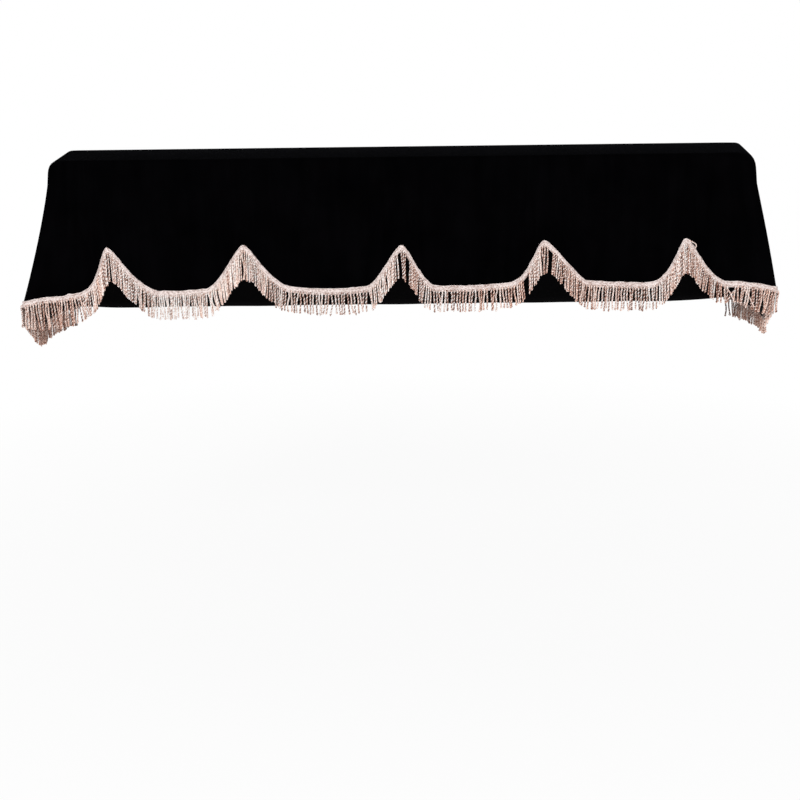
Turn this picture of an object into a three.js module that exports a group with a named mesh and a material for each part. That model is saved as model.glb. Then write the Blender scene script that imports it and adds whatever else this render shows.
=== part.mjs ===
// A half cover for an upright piano. One velvet cloth lies over the instrument's top and hangs
// down all round: straight in front and behind, and flared into a soft fold at each front
// corner. The front hem is cut in scallops. A bullion fringe, a woven heading with looped cords,
// runs along the front hem and round both sides.
//
// Millimetres. +X is the player's right, -Y faces the player, +Z is up. The origin is the middle
// of the cloth's underside, where it lies on the piano.
import * as THREE from 'three';

// ---- Driving sizes --------------------------------------------------------------------------

const TOP_WIDTH = 1448; // across the top, between the fold-over lines
const TOP_DEPTH = 226; // front to back, between the fold-over lines
const CLOTH = 2; // thickness of the pile cloth
const EDGE_ROLL = 16; // how far the cloth's turn over the front and back edges reaches
const HEADING_WIDTH = 14;
const TRIM_THICKNESS = 2.6; // of the heading and of the cords below it
const HEADING_LAP = 7; // how much of the heading lies on the cloth
const HEADING_SQUARE = 0.5; // 1 if it keeps its width square to a sloping hem, 0 if only plumb
const CORD_LENGTH = 41; // free length of the looped cords
const COMB_ROOT = 5; // depth of the unbroken strip that the comb's teeth hang from
const TOOTH_PITCH = 25;
const TOOTH_GAP = 0.12; // half the gap beside a tooth, as a share of the pitch
const TOOTH_UNEVEN = 2.5; // how much longer or shorter a tooth may be
const CORD_LEAN = 0.12; // how far the cords turn from hanging plumb to lying square to the hem
const POINT_MORE = 15; // how much longer the gathered cords under a point hang
const POINT_REACH = 22; // and how far to each side of it
const CORNER_MORE = 12; // the same for the front corners
const CORNER_REACH = 45;
const CORNER_PLACE = -25; // the middle of that stretch, along the edge from the corner
const CLEAR = 0.45; // gap between pieces that are sewn together
const TIP_ROUND = 12.6; // softness of a scallop's point

const COLOURS = { velvet: 0x0a090b, braid: 0xcdb9ac, cords: 0xd8c4b2 };

// The points of the front hem, from the player's left to right. `at` is the place along X, `tip`
// the drop from the top to the point. A flank reaches sideways by its width, and its bow is 1
// when it is straight and more when it is steep at the point and eases out below.
const SCALLOPS = [
  { at: -617, tip: 178, leftWidth: 88, leftBow: 4.5, rightWidth: 94, rightBow: 1.8 },
  { at: -331, tip: 177, leftWidth: 70, leftBow: 1.6, rightWidth: 86, rightBow: 2.0 },
  { at: 1, tip: 181, leftWidth: 60, leftBow: 1.4, rightWidth: 57, rightBow: 1.6 },
  { at: 298, tip: 174, leftWidth: 63, leftBow: 2.5, rightWidth: 79, rightBow: 1.2 },
  { at: 595, tip: 173, leftWidth: 85, leftBow: 3.4, rightWidth: 78, rightBow: 1.7 },
];

// The hem between two points: its drop at the left and right, and how much it sags between.
const LOBES = [
  { left: 275, right: 275, sag: 0 },
  { left: 265, right: 259, sag: 10 },
  { left: 246, right: 256, sag: 20 },
  { left: 262, right: 253, sag: 10 },
  { left: 253, right: 268, sag: 3 },
  { left: 265, right: 265, sag: 0 },
];

// How the cloth hangs round each end of the piano, from the front to the back, a row for each
// turn of the hem. `edge` is where the fall leaves the top edge: along the front edge when it is
// negative, 0 at the front corner, along the end and then the back edge when it is positive.
// `out` and `back` place the hem in plan, from the front corner outwards and to the rear, and
// `drop` is how far it hangs below the top. `steps` divides the stretch to the next row.
const FALLS = {
  left: [
    { edge: -72, out: -72, back: 0, drop: 247, steps: 4 },
    { edge: -44, out: -20, back: -7, drop: 276, steps: 2 },
    { edge: -24, out: 26, back: -18, drop: 279, steps: 2 },
    { edge: -9, out: 55, back: -28, drop: 283, steps: 3 },
    { edge: -2, out: 67, back: -30, drop: 286, steps: 3 },
    { edge: 3, out: 66, back: -17, drop: 290, steps: 3 },
    { edge: 8, out: 61, back: 2, drop: 308, steps: 2 },
    { edge: 18, out: 53, back: 24, drop: 334, steps: 2 },
    { edge: 48, out: 50, back: 60, drop: 348, steps: 2 },
    { edge: 110, out: 55, back: 118, drop: 351, steps: 2 },
    { edge: 176, out: 47, back: 178, drop: 351, steps: 2 },
    { edge: 206, out: 42, back: 218, drop: 352, steps: 2 },
    { edge: 222, out: 38, back: 248, drop: 353, steps: 3 },
    { edge: 228, out: 18, back: 262, drop: 353, steps: 2 },
    { edge: 248, out: -22, back: 252, drop: 352, steps: 2 },
    { edge: 286, out: -70, back: 236, drop: 351, steps: 1 },
    { edge: 346, out: -120, back: 229, drop: 350, steps: 0 },
  ],
  right: [
    { edge: -72, out: -72, back: 0, drop: 255, steps: 4 },
    { edge: -44, out: -22, back: -6, drop: 264, steps: 2 },
    { edge: -24, out: 20, back: -17, drop: 268, steps: 2 },
    { edge: -9, out: 47, back: -27, drop: 271, steps: 3 },
    { edge: -2, out: 58, back: -29, drop: 274, steps: 3 },
    { edge: 3, out: 58, back: -17, drop: 278, steps: 3 },
    { edge: 7, out: 51, back: -8, drop: 291, steps: 2 },
    { edge: 12, out: 44, back: 2, drop: 316, steps: 2 },
    { edge: 20, out: 45, back: 18, drop: 338, steps: 2 },
    { edge: 48, out: 52, back: 54, drop: 346, steps: 2 },
    { edge: 110, out: 58, back: 112, drop: 346, steps: 2 },
    { edge: 176, out: 49, back: 178, drop: 347, steps: 2 },
    { edge: 206, out: 44, back: 220, drop: 348, steps: 2 },
    { edge: 222, out: 38, back: 252, drop: 349, steps: 3 },
    { edge: 228, out: 16, back: 265, drop: 350, steps: 2 },
    { edge: 248, out: -24, back: 254, drop: 351, steps: 2 },
    { edge: 286, out: -72, back: 237, drop: 350, steps: 1 },
    { edge: 346, out: -120, back: 229, drop: 350, steps: 0 },
  ],
};

// How each end of the cloth turns over the piano's end. `corner` is the radius of the front corner
// in plan and `rear` that of the rear one, and the turn between them reaches as far in. `stand` is
// how far the turn stands off the fold-over line at the front and `rearStand` at the rear, and
// `bow` the inward curve of the flared fold, as a share of its flare, or outward below 0.
const ENDS = {
  left: { sign: -1, corner: 27, rear: 18, stand: 6, rearStand: 12, bow: 0.06 },
  right: { sign: 1, corner: 36, rear: 18, stand: 12, rearStand: 29, bow: -0.04 },
};

const FRINGE_END = 228; // the `edge` at which the fringe stops, on the rear corner's fold
const FRONT_SHARE_END = -20; // `out` up to which the hem follows the scallops
const FLANK_SHARES = [1, 0.74, 0.5, 0.3, 0.16, 0.07]; // columns on a flank, from its foot to the point
const LOBE_SHARES = [0.3, 0.7]; // columns on the hem between two flanks
const BACK_SPANS = 8; // columns along the straight back
const BACK_DROP = 350;
const TURN_STEPS = 3; // rows round the turn over the top edge
const FALL_SHARES = [0.3, 0.65, 1]; // rows down the fall
const SPINE_REACH = 600; // half the length of the line down the middle of the top
const SPINE_NODES = 13;
const SLOPE_WINDOW = 10; // how far to each side the hem's slope is taken for the heading
const LEAN_WINDOW = 50; // and for the cords, which meet under a point without crossing

// ---- The drape ------------------------------------------------------------------------------

const lerp = THREE.MathUtils.lerp;
const clamp = THREE.MathUtils.clamp;

/** The drop of the front hem at x. */
function frontDrop(x) {
  const after = SCALLOPS.findIndex((scallop) => scallop.at > x);
  const lobe = LOBES[after < 0 ? SCALLOPS.length : after];
  const from = after < 0 ? SCALLOPS.at(-1) : SCALLOPS[after - 1];
  const to = after < 0 ? undefined : SCALLOPS[after];
  const share = from && to ? (x - from.at) / (to.at - from.at) : 0;
  let drop = lerp(lobe.left, lobe.right, share) + lobe.sag * Math.sin(Math.PI * share);
  for (const { at, tip, leftWidth, leftBow, rightWidth, rightBow } of SCALLOPS) {
    const away = Math.hypot(x - at, TIP_ROUND) - TIP_ROUND;
    const reach = away / (x < at ? leftWidth : rightWidth);
    if (reach < 1) drop = lerp(drop, tip, (1 - reach) ** (x < at ? leftBow : rightBow));
  }
  return drop;
}

/** A point of the top edge and its outward direction, as [out, back] from the front corner. */
function topEdge(edge, corner, rear) {
  const quarter = (start, radius) => ((edge - start + radius) / (2 * radius)) * (Math.PI / 2);
  if (edge <= -corner) return { at: [edge, 0], facing: [0, -1] };
  if (edge < corner) {
    const angle = quarter(0, corner);
    const facing = [Math.sin(angle), -Math.cos(angle)];
    return { at: [corner * (facing[0] - 1), corner * (facing[1] + 1)], facing };
  }
  if (edge <= TOP_DEPTH - rear) return { at: [0, edge], facing: [1, 0] };
  if (edge < TOP_DEPTH + rear) {
    const angle = quarter(TOP_DEPTH, rear);
    const facing = [Math.cos(angle), Math.sin(angle)];
    return { at: [rear * (facing[0] - 1), TOP_DEPTH + rear * (facing[1] - 1)], facing };
  }
  return { at: [TOP_DEPTH - edge, TOP_DEPTH], facing: [0, 1] };
}

/** A smooth value between four rows of a table, a share of the way from b to c. */
function smooth(a, b, c, d, share) {
  return (
    b +
    (share / 2) * (c - a + share * (2 * a - 5 * b + 4 * c - d + share * (3 * (b - c) + d - a)))
  );
}

/** One fall of the cloth: where it leaves the top edge, where its hem hangs, and how it turns. */
function fallAt(side, edge, out, back, drop) {
  const { sign, corner, rear, stand, rearStand, bow } = ENDS[side];
  const { at, facing } = topEdge(edge, corner, rear);
  const along = clamp(edge / TOP_DEPTH, 0, 1);
  const onEnd = Math.abs(facing[0]);
  const away = onEnd * lerp(stand, rearStand, along);
  const place = ([x, y]) => new THREE.Vector2(sign * (TOP_WIDTH / 2 + x), y - TOP_DEPTH / 2);
  return {
    edge,
    top: place([at[0] + away, at[1]]),
    facing: new THREE.Vector2(sign * facing[0], facing[1]),
    hem: place([out, back]),
    drop,
    roll: lerp(EDGE_ROLL, lerp(corner, rear, along), onEnd),
    bow,
  };
}

/** The falls round one end, from the front to the back. */
function endFalls(side) {
  const rows = FALLS[side];
  const falls = [];
  rows.forEach((row, index) => {
    const near = [index - 1, index, index + 1, index + 2].map((i) => rows[clamp(i, 0, rows.length - 1)]);
    for (let step = 0; step < Math.max(row.steps, 1); step += 1) {
      const share = row.steps ? step / row.steps : 0;
      const value = (name) => smooth(...near.map((r) => r[name]), share);
      const out = value('out');
      const x = ENDS[side].sign * (TOP_WIDTH / 2 + out);
      const onFront = out < FRONT_SHARE_END && index < rows.length / 2;
      falls.push(fallAt(side, value('edge'), out, value('back'), onFront ? frontDrop(x) : value('drop')));
    }
  });
  return falls;
}

/** The places along the front where a fall is drawn, between the two ends' first rows. */
function frontPlaces() {
  const places = SCALLOPS.flatMap(({ at, leftWidth, rightWidth }) => [
    ...FLANK_SHARES.map((share) => at - share * leftWidth),
    at,
    ...FLANK_SHARES.map((share) => at + share * rightWidth).reverse(),
  ]);
  SCALLOPS.slice(1).forEach((to, index) => {
    const from = SCALLOPS[index];
    const start = from.at + from.rightWidth;
    const end = to.at - to.leftWidth;
    places.push(...LOBE_SHARES.map((share) => lerp(start, end, share)));
  });
  const limit = TOP_WIDTH / 2 + FALLS.left[0].out - TIP_ROUND;
  return places.filter((x) => Math.abs(x) < limit).sort((a, b) => a - b);
}

/** A fall of the straight front or back, at x. */
function straightFall(x, atBack) {
  const side = x < 0 ? 'left' : 'right';
  const inward = Math.abs(x) - TOP_WIDTH / 2;
  const last = FALLS[side].at(-1);
  if (atBack) return fallAt(side, TOP_DEPTH - inward, inward, last.back, BACK_DROP);
  return fallAt(side, inward, inward, 0, frontDrop(x));
}

/** All the falls, anticlockwise seen from above, from the front's left end. */
function allFalls() {
  const left = endFalls('left');
  const right = endFalls('right');
  const backEnd = TOP_WIDTH / 2 + FALLS.right.at(-1).out;
  const back = [];
  for (let span = 1; span < BACK_SPANS; span += 1) {
    back.push(straightFall(lerp(backEnd, -backEnd, span / BACK_SPANS), true));
  }
  const front = frontPlaces().map((x) => straightFall(x, false));
  return [...front, ...right, ...back, ...left.reverse()];
}

/** The point a share of the way down a fall, on the middle of the cloth. Past 1 it goes on straight. */
function fallPoint(fall, share) {
  const bowed = share < 1 ? share - 4 * fall.bow * share * (1 - share) : share;
  const plan = fall.top.clone().lerp(fall.hem, bowed);
  return new THREE.Vector3(plan.x, plan.y, CLOTH / 2 - fall.drop * share);
}

/** The points of the turn over the top edge, from the flat top to the fall. */
function turnPoints(fall) {
  const flat = fall.top.clone().addScaledVector(fall.facing, -fall.roll);
  const start = new THREE.Vector3(flat.x, flat.y, CLOTH / 2);
  const pivot = new THREE.Vector3(fall.top.x, fall.top.y, CLOTH / 2);
  const turn = new THREE.QuadraticBezierCurve3(start, pivot, fallPoint(fall, fall.roll / fall.drop));
  return turn.getPoints(TURN_STEPS);
}

const falls = allFalls();

/** The first fall at least `reach` along the hem from one fall, forwards or backwards. */
function fallAway(index, way, reach) {
  let other = index;
  let run = 0;
  while (run < reach) {
    const next = (other + way + falls.length) % falls.length;
    run += falls[next].hem.distanceTo(falls[other].hem);
    other = next;
  }
  return { fall: falls[other], run };
}

/** How much farther a step straight down the fall goes than one square to the hem. */
function hemSecant(index) {
  const slopes = [-1, 1].map((way) => {
    const { fall, run } = fallAway(index, way, SLOPE_WINDOW);
    return Math.abs(fall.drop - falls[index].drop) / run;
  });
  return Math.hypot(1, (slopes[0] + slopes[1]) / 2) ** HEADING_SQUARE;
}

/** How much longer than the rest the cords hang from a fall. */
function cordMore(fall) {
  const near = (distance, reach) => Math.max(0, 1 - Math.abs(distance) / reach);
  const points = SCALLOPS.map(({ at }) => near(fall.hem.x - at, POINT_REACH));
  return POINT_MORE * Math.max(...points) + CORNER_MORE * near(fall.edge - CORNER_PLACE, CORNER_REACH);
}

/** Which way the cords hang from a fall: plumb on a level hem, fanned out under a slope. */
function cordWay(index) {
  const [before, after] = [-1, 1].map((way) => fallPoint(fallAway(index, way, LEAN_WINDOW).fall, 1));
  const along = after.sub(before).normalize();
  return new THREE.Vector3(0, 0, -1).addScaledVector(along, CORD_LEAN * along.z);
}

falls.forEach((fall, index) => {
  fall.length = Math.hypot(fall.hem.distanceTo(fall.top), fall.drop);
  fall.secant = hemSecant(index);
});

/** The point of a fall that lies `below` its hem line, counted square to that line. */
function belowHem(fall, below) {
  return fallPoint(fall, 1 + (below * fall.secant) / fall.length);
}

// The middle of the cloth, a column for each fall: the turn, then the fall down to the hem.
const columns = falls.map((fall) => {
  const turn = turnPoints(fall);
  const start = fall.roll / fall.drop;
  const end = 1 + (HEADING_LAP * fall.secant) / fall.length;
  return [...turn, ...FALL_SHARES.map((share) => fallPoint(fall, lerp(start, end, share)))];
});

/** The outward direction of the cloth at one point of its grid. */
function outward(column, row) {
  if (row === 0) return new THREE.Vector3(0, 0, 1);
  const count = columns.length;
  const own = columns[column];
  const across = columns[(column + 1) % count][row].clone();
  across.sub(columns[(column + count - 1) % count][row]);
  const down = own[Math.min(row + 1, own.length - 1)].clone().sub(own[row - 1]);
  return down.cross(across).normalize();
}

const outwards = columns.map((own, column) => own.map((_, row) => outward(column, row)));

// ---- Closed solids --------------------------------------------------------------------------

/** Vertices and triangles of one closed body. */
class Solid {
  constructor() {
    this.points = [];
    this.triangles = [];
  }

  add(point) {
    this.points.push(point.x, point.y, point.z);
    return this.points.length / 3 - 1;
  }

  triangle(a, b, c) {
    this.triangles.push(a, b, c);
  }

  quad(a, b, c, d) {
    this.triangle(a, b, c);
    this.triangle(a, c, d);
  }

  mesh(name, colour, roughness) {
    const geometry = new THREE.BufferGeometry();
    geometry.setAttribute('position', new THREE.Float32BufferAttribute(this.points, 3));
    geometry.setIndex(this.triangles);
    geometry.computeVertexNormals();
    const material = new THREE.MeshStandardMaterial({ color: colour, roughness, metalness: 0 });
    const mesh = new THREE.Mesh(geometry, material);
    mesh.name = name;
    return mesh;
  }
}

/** One face of the flat top, from its ring of vertices in to the line down its middle. */
function fillTop(solid, ring, height, up) {
  const spine = Array.from({ length: SPINE_NODES }, (_, node) => {
    const x = lerp(-SPINE_REACH, SPINE_REACH, node / (SPINE_NODES - 1));
    return solid.add(new THREE.Vector3(x, 0, height));
  });
  const nearest = (x) => {
    const share = (clamp(x, -SPINE_REACH, SPINE_REACH) + SPINE_REACH) / (2 * SPINE_REACH);
    return Math.round(share * (SPINE_NODES - 1));
  };
  const face = (a, b, c) => (up ? solid.triangle(a, b, c) : solid.triangle(a, c, b));
  ring.forEach((vertex, index) => {
    const next = ring[(index + 1) % ring.length];
    let node = nearest(solid.points[3 * vertex]);
    const target = nearest(solid.points[3 * next]);
    face(vertex, next, spine[node]);
    while (node !== target) {
      const step = node + Math.sign(target - node);
      face(next, spine[step], spine[node]);
      node = step;
    }
  });
}

/** The cloth: an outer and an inner face joined round the hem. */
function coverCloth() {
  const solid = new Solid();
  const layer = (offset) =>
    columns.map((own, column) =>
      own.map((point, row) => solid.add(point.clone().addScaledVector(outwards[column][row], offset))),
    );
  const outer = layer(CLOTH / 2);
  const inner = layer(-CLOTH / 2);
  const last = outer[0].length - 1;
  outer.forEach((own, column) => {
    const next = (column + 1) % outer.length;
    for (let row = 0; row < last; row += 1) {
      solid.quad(own[row], own[row + 1], outer[next][row + 1], outer[next][row]);
      solid.quad(inner[column][row], inner[next][row], inner[next][row + 1], inner[column][row + 1]);
    }
    solid.quad(own[last], inner[column][last], inner[next][last], outer[next][last]);
  });
  fillTop(solid, outer.map((own) => own[0]), CLOTH, true);
  fillTop(solid, inner.map((own) => own[0]), 0, false);
  return solid.mesh('cover_cloth', COLOURS.velvet, 0.95);
}

/** The falls that carry the fringe, from the left rear corner round the front to the right one. */
function fringedColumns() {
  const lead = falls.findIndex((fall, index) => {
    const before = falls[(index + falls.length - 1) % falls.length];
    return fall.edge <= FRINGE_END && before.edge > FRINGE_END && fall.hem.x < 0;
  });
  const order = falls.map((_, index) => (lead + index) % falls.length);
  return order.slice(0, order.findIndex((index) => falls[index].edge > FRINGE_END));
}

const fringed = fringedColumns();

/** A point beside a fringed fall: `below` its hem line and `off` the middle of the cloth. */
function beside(column, below, off) {
  return belowHem(falls[column], below).addScaledVector(outwards[column].at(-1), off);
}

/** The heading: a flat woven strip on the face of the hem. */
function fringeHeading() {
  const solid = new Solid();
  const near = CLOTH / 2 + CLEAR;
  const far = near + TRIM_THICKNESS;
  const rings = fringed.map((column) =>
    [
      [0, near],
      [0, far],
      [HEADING_WIDTH, far],
      [HEADING_WIDTH, near],
    ].map(([below, off]) => solid.add(beside(column, below, off))),
  );
  rings.slice(1).forEach((ring, index) => {
    const before = rings[index];
    for (let side = 0; side < 4; side += 1) {
      const turn = (side + 1) % 4;
      solid.quad(before[side], before[turn], ring[turn], ring[side]);
    }
  });
  solid.quad(...rings[0].toReversed());
  solid.quad(...rings.at(-1));
  return solid.mesh('fringe_heading', COLOURS.braid, 0.8);
}

/** The cords: a comb whose teeth hang from just under the heading, fanned out on a slope. */
function fringeCords() {
  const solid = new Solid();
  const below = HEADING_WIDTH + CLEAR;
  const near = CLOTH / 2 + CLEAR;
  const roots = fringed.map((column) => ({
    faces: [near, near + TRIM_THICKNESS].map((off) => beside(column, below, off)),
    way: cordWay(column),
    more: cordMore(falls[column]),
  }));

  /** Vertices across the comb's thickness, `down` under a place on the root line. */
  const hang = (from, to, share, down) => {
    const way = from.way.clone().lerp(to.way, share);
    return [0, 1].map((face) => {
      const root = from.faces[face].clone().lerp(to.faces[face], share);
      return solid.add(root.addScaledVector(way, down));
    });
  };
  const column = (from, to, share) => ({
    top: hang(from, to, share, 0),
    root: hang(from, to, share, COMB_ROOT),
  });
  const strip = (a, b) => {
    solid.quad(a.top[1], a.root[1], b.root[1], b.top[1]);
    solid.quad(a.top[0], b.top[0], b.root[0], a.root[0]);
    solid.quad(a.top[1], b.top[1], b.top[0], a.top[0]);
  };
  const gap = (a, b) => {
    strip(a, b);
    solid.quad(a.root[0], b.root[0], b.root[1], a.root[1]);
  };
  const tooth = (a, b, tips) => {
    strip(a, b);
    solid.quad(a.root[1], tips[0][1], tips[1][1], b.root[1]);
    solid.quad(a.root[0], b.root[0], tips[1][0], tips[0][0]);
    solid.quad(a.root[0], tips[0][0], tips[0][1], a.root[1]);
    solid.quad(b.root[1], tips[1][1], tips[1][0], b.root[0]);
    solid.quad(tips[0][0], tips[1][0], tips[1][1], tips[0][1]);
  };

  let count = 0;
  let last = column(roots[0], roots[0], 0);
  const first = last;
  roots.slice(1).forEach((to, index) => {
    const from = roots[index];
    const teeth = Math.max(1, Math.round(from.faces[1].distanceTo(to.faces[1]) / TOOTH_PITCH));
    for (let place = 0; place < teeth; place += 1) {
      const shares = [(place + TOOTH_GAP) / teeth, (place + 1 - TOOTH_GAP) / teeth];
      const [left, right] = shares.map((share) => column(from, to, share));
      const more = lerp(from.more, to.more, (place + 0.5) / teeth);
      const uneven = TOOTH_UNEVEN * Math.sin(2.4 * count) * Math.cos(0.7 * count);
      const length = CORD_LENGTH + more + uneven;
      gap(last, left);
      tooth(left, right, shares.map((share) => hang(from, to, share, length)));
      last = right;
      count += 1;
    }
    const end = column(from, to, 1);
    gap(last, end);
    last = end;
  });
  solid.quad(first.top[0], first.root[0], first.root[1], first.top[1]);
  solid.quad(last.top[1], last.root[1], last.root[0], last.top[0]);
  return solid.mesh('fringe_cords', COLOURS.cords, 0.7);
}

const cover = new THREE.Group();
cover.add(coverCloth(), fringeHeading(), fringeCords());

export default cover;
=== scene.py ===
"""Dresses a velvet dust cover for an upright piano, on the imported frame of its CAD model.

The cover is one cloth that lies over the piano's top and hangs down all round. A bullion fringe, a
woven heading with looped and twisted cords, runs along the scalloped front hem and round both
sides. Each sub-assembly is a class: its fields are its sizes, `build` makes its meshes, and `dress`
gives them their finish.

Lengths are in millimetres up to the moment a mesh is made, which is in metres. +X is the player's
right, -Y faces the player and +Z is up. The origin is the middle of the cloth's flat underside.
"""

import logging
import math
from dataclasses import dataclass, field
from enum import Enum
from functools import cache
from typing import NamedTuple, Optional, Sequence, Union

import bpy
import numpy as np
from mathutils import Matrix, Vector

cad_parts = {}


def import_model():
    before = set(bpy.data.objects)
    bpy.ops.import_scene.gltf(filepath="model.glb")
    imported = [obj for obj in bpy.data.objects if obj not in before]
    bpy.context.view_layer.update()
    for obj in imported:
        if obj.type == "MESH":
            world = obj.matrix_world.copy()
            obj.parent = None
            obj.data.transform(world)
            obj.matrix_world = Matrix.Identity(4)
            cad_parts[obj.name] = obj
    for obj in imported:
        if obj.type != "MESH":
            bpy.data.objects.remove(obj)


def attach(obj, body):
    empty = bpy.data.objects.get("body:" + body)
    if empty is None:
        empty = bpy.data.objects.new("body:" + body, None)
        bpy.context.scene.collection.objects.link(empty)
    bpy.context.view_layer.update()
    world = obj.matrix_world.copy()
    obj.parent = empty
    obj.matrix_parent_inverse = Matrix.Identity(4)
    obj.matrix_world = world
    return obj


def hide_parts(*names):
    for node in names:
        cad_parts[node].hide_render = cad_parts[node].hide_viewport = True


LOG = logging.getLogger("piano_cover")
METRE = 0.001  # one millimetre, in the mesh's metres

Array = np.ndarray
Piece = bpy.types.Object
Socket = bpy.types.NodeSocket
Material = bpy.types.Material
Tree = bpy.types.NodeTree
Random = np.random.Generator
Colour = tuple[float, float, float, float]
Value = Union[float, Sequence[float], Socket]


class End(Enum):
    """An end of the piano, and the way it lies along X."""

    LEFT = -1
    RIGHT = 1


class Side(Enum):
    """A face of the velvet."""

    PILE = 0
    WRONG = 1


class Scallop(NamedTuple):
    """A point of the front hem, with its drop and the widths and bows of its two flanks."""

    at: float
    tip: float
    left_width: float
    left_bow: float
    right_width: float
    right_bow: float


class Lobe(NamedTuple):
    """The hem between two points: its drop at both ends and its sag between them."""

    left: float
    right: float
    sag: float


class HemRow(NamedTuple):
    """One turn of the hem round an end, from the front corner outwards and to the rear."""

    edge: float
    out: float
    back: float
    drop: float


class EndShape(NamedTuple):
    """How the cloth turns over an end of the piano."""

    corner: float
    rear: float
    stand: float
    rear_stand: float
    bow: float


class Stretch(NamedTuple):
    """How the fringe hangs at one place of the hem; between two places it changes evenly.

    `at` is X along the front, and counts on round the ends. `spacing` is the distance between cords,
    `longer` their extra length, `tone` how pale and `warmth` how ruddy they are, from 0 to 1. Round the ends
    and the front corners the lower tone and higher warmth are painted shade.
    """

    at: float
    spacing: float
    longer: float
    tone: float
    warmth: float


class Gap(NamedTuple):
    """A parting of the front fringe, where no cord hangs: its place and width along X."""

    at: float
    width: float


class Stray(NamedTuple):
    """A loose cord of the front fringe: its place, how its end swings and how long it is."""

    at: float
    swing: float
    forward: float
    length: float


class Loop(NamedTuple):
    """A loose loop of thread on the front heading: where it starts, its reach, rise and thickness."""

    at: float
    reach: float
    rise: float
    thickness: float


class Uneven(NamedTuple):
    """How the cords differ in one way: their mean, their spread, and a slow wave along the hem."""

    mean: float
    spread: float
    wave: float
    span: float
    seed: int

    def values(self, places: Array, rng: Random) -> Array:
        """Returns a value for a cord at each place."""
        chance = rng.normal(self.mean, self.spread, len(places))
        return chance + self.wave * soft_noise(places, self.span, self.seed)


class Wave(NamedTuple):
    """A soft wave of a hanging panel: how far it stands off, its length and where it starts."""

    reach: float
    length: float
    start: float


SCALLOPS = (
    Scallop(-617, 178, 88, 4.5, 94, 1.8),
    Scallop(-331, 177, 70, 1.6, 86, 2.0),
    Scallop(1, 181, 60, 1.4, 57, 1.6),
    Scallop(298, 174, 63, 2.5, 79, 1.2),
    Scallop(595, 173, 85, 3.4, 78, 1.7),
)

LOBES = (
    Lobe(275, 275, 0),
    Lobe(265, 259, 10),
    Lobe(246, 256, 20),
    Lobe(262, 253, 10),
    Lobe(253, 268, 3),
    Lobe(265, 265, 0),
)

HEM_ROWS = {
    End.LEFT: (
        HemRow(-72, -72, 0, 247),
        HemRow(-44, -20, -7, 276),
        HemRow(-24, 26, -18, 279),
        HemRow(-9, 55, -28, 283),
        HemRow(-2, 67, -30, 286),
        HemRow(3, 66, -17, 290),
        HemRow(8, 61, 2, 308),
        HemRow(18, 53, 24, 334),
        HemRow(48, 50, 60, 348),
        HemRow(110, 55, 118, 351),
        HemRow(176, 47, 178, 351),
        HemRow(206, 42, 218, 352),
        HemRow(222, 38, 248, 353),
        HemRow(228, 18, 262, 353),
        HemRow(248, -22, 252, 352),
        HemRow(286, -70, 236, 351),
        HemRow(346, -120, 229, 350),
    ),
    End.RIGHT: (
        HemRow(-72, -72, 0, 255),
        HemRow(-44, -22, -6, 264),
        HemRow(-24, 20, -17, 268),
        HemRow(-9, 47, -27, 271),
        HemRow(-2, 58, -29, 274),
        HemRow(3, 58, -17, 278),
        HemRow(7, 51, -8, 291),
        HemRow(12, 44, 2, 316),
        HemRow(20, 45, 18, 338),
        HemRow(48, 52, 54, 346),
        HemRow(110, 58, 112, 346),
        HemRow(176, 49, 178, 347),
        HemRow(206, 44, 220, 348),
        HemRow(222, 38, 252, 349),
        HemRow(228, 16, 265, 350),
        HemRow(248, -24, 254, 351),
        HemRow(286, -72, 237, 350),
        HemRow(346, -120, 229, 350),
    ),
}

END_SHAPES = {
    End.LEFT: EndShape(corner=27, rear=18, stand=6, rear_stand=12, bow=0.06),
    End.RIGHT: EndShape(corner=36, rear=18, stand=12, rear_stand=29, bow=-0.04),
}

# Round the ends and the front corners the cords are set darker and ruddier as painted shade.
STRETCHES = (
    Stretch(-952, 5.4, -4, 0.66, 0.9),
    Stretch(-760, 5.4, -3, 0.66, 0.9),
    Stretch(-725, 5.2, 1, 0.80, 0.6),
    Stretch(-705, 5.2, 12, 0.78, 0.6),
    Stretch(-680, 5.6, 12, 0.74, 0.7),
    Stretch(-655, 5.8, 3, 0.80, 0.4),
    Stretch(-617, 5.0, 1, 0.84, 0.3),
    Stretch(-520, 4.5, 4, 0.98, 0.05),
    Stretch(-385, 4.5, 4, 0.96, 0.05),
    Stretch(-331, 5.2, 0, 0.86, 0.2),
    Stretch(-260, 5.2, 0, 0.86, 0.2),
    Stretch(-220, 6.6, 0, 0.70, 0.3),
    Stretch(-100, 6.6, 0, 0.70, 0.3),
    Stretch(1, 5.4, 0, 0.76, 0.3),
    Stretch(82, 6.4, 0, 0.72, 0.3),
    Stretch(206, 6.3, 0, 0.70, 0.5),
    Stretch(298, 5.6, 0, 0.76, 0.4),
    Stretch(350, 5.2, 0, 0.90, 0.2),
    Stretch(414, 5.8, 3, 0.76, 0.4),
    Stretch(518, 5.8, 3, 0.76, 0.4),
    Stretch(595, 5.2, 3, 0.78, 0.3),
    Stretch(655, 5.6, -2, 0.78, 0.4),
    Stretch(672, 5.8, -12, 0.72, 0.7),
    Stretch(690, 5.8, -8, 0.76, 0.6),
    Stretch(700, 5.2, 5, 0.80, 0.5),
    Stretch(716, 5.0, 9, 0.78, 0.6),
    Stretch(728, 5.2, 0, 0.74, 0.6),
    Stretch(748, 5.4, -13, 0.66, 0.8),
    Stretch(850, 5.4, -10, 0.62, 0.9),
    Stretch(952, 5.4, -6, 0.62, 0.9),
)

GAPS = (
    Gap(-3.5, 4),
    Gap(14, 6),
    Gap(262, 9),
    Gap(312, 8),
    Gap(694, 9),
)

STRAYS = (
    Stray(-679, 20, 5, 44),
    Stray(-665, -8, 6, 42),
    Stray(686, 15, 6, 32),
    Stray(703, -17, 8, 33),
    Stray(722, 18, 6, 40),
)

LOOSE_LOOP = Loop(600, 28.0, 10.5, 2.1)

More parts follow.
